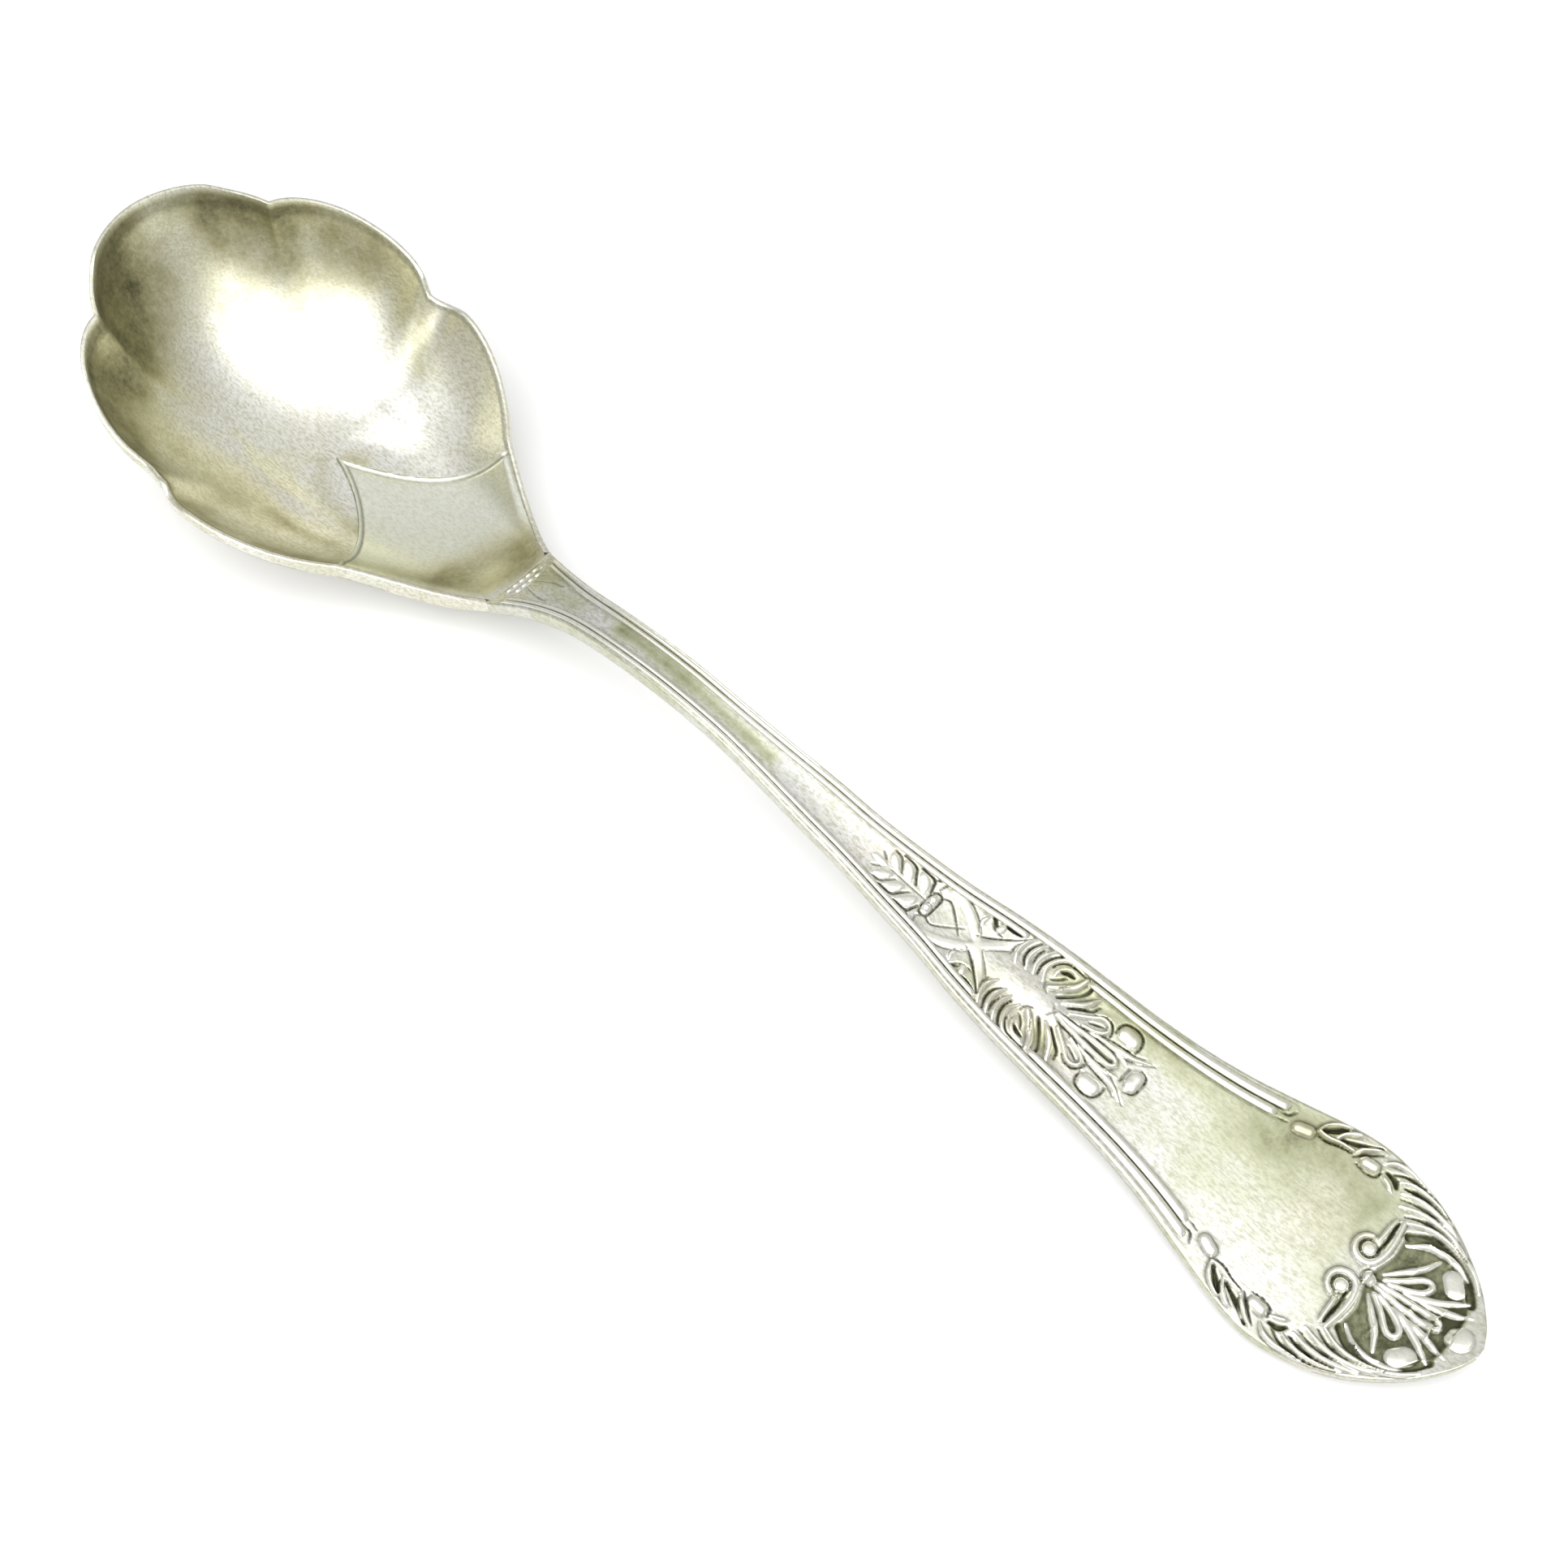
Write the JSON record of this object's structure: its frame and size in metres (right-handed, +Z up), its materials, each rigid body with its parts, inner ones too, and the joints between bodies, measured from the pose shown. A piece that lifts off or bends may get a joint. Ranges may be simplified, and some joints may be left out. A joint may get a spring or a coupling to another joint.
{
  "type": "sugar spoon",
  "caption": "Sugar spoon with a lobed shell bowl, a plate tongue over the bowl's heel, and an arched fiddle handle edged with threads and struck with palmettes and scrolls.",
  "frame": {"origin": "on the table, under the middle of the spoon's length and width", "axes": "+X along the spoon from the bowl's tip to the handle's point, +Z up with the bowl open upwards, +Y across the spoon"},
  "size_m": [0.1528, 0.0342, 0.0188],
  "materials": {
    "bowl_silver": "worn polished silver with fine scratches and olive tarnish in the creases",
    "tongue_silver": "smooth polished silver",
    "handle_silver": "worn polished silver with fine lengthwise brushing",
    "thread_silver": "polished silver, dark in the grooves beside the threads",
    "relief_silver": "polished silver relief with tarnish in its recesses"
  },
  "bodies": {
    "root": {"bowl": "bowl_silver", "bowl_tongue": "tongue_silver", "handle": "handle_silver", "neck_beading": "relief_silver", "border_threads": "thread_silver", "leaf_spray": "relief_silver", "scroll_palmette": "relief_silver", "terminal_scrolls": "relief_silver", "terminal_palmette": "relief_silver"}
  },
  "joints": []
}
